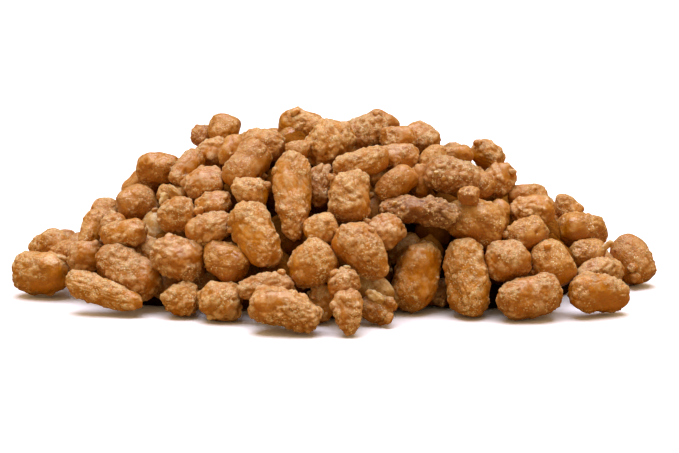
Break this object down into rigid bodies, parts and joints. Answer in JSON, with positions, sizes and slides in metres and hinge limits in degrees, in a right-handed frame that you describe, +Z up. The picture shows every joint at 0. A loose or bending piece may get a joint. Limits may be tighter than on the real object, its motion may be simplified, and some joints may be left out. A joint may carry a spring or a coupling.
{
  "type": "heap of toffee peanuts",
  "caption": "A loose low heap of peanuts in a knobbly caramel-brown toffee coat, as it lies on a flat surface, joined into one piece with a flat base.",
  "frame": {"origin": "On the surface that the heap lies on, near the middle of its footprint and under its highest part, at the middle of the flat base.", "axes": "+X runs along the heap's length, to the right as seen from the front. +Y points to the back of the heap. +Z points up, away from the surface."},
  "size_m": [0.179, 0.1321, 0.0507],
  "materials": {
    "toffee": "satin"
  },
  "bodies": {
    "root": {"heap_of_toffee_peanuts": "toffee"}
  },
  "joints": []
}
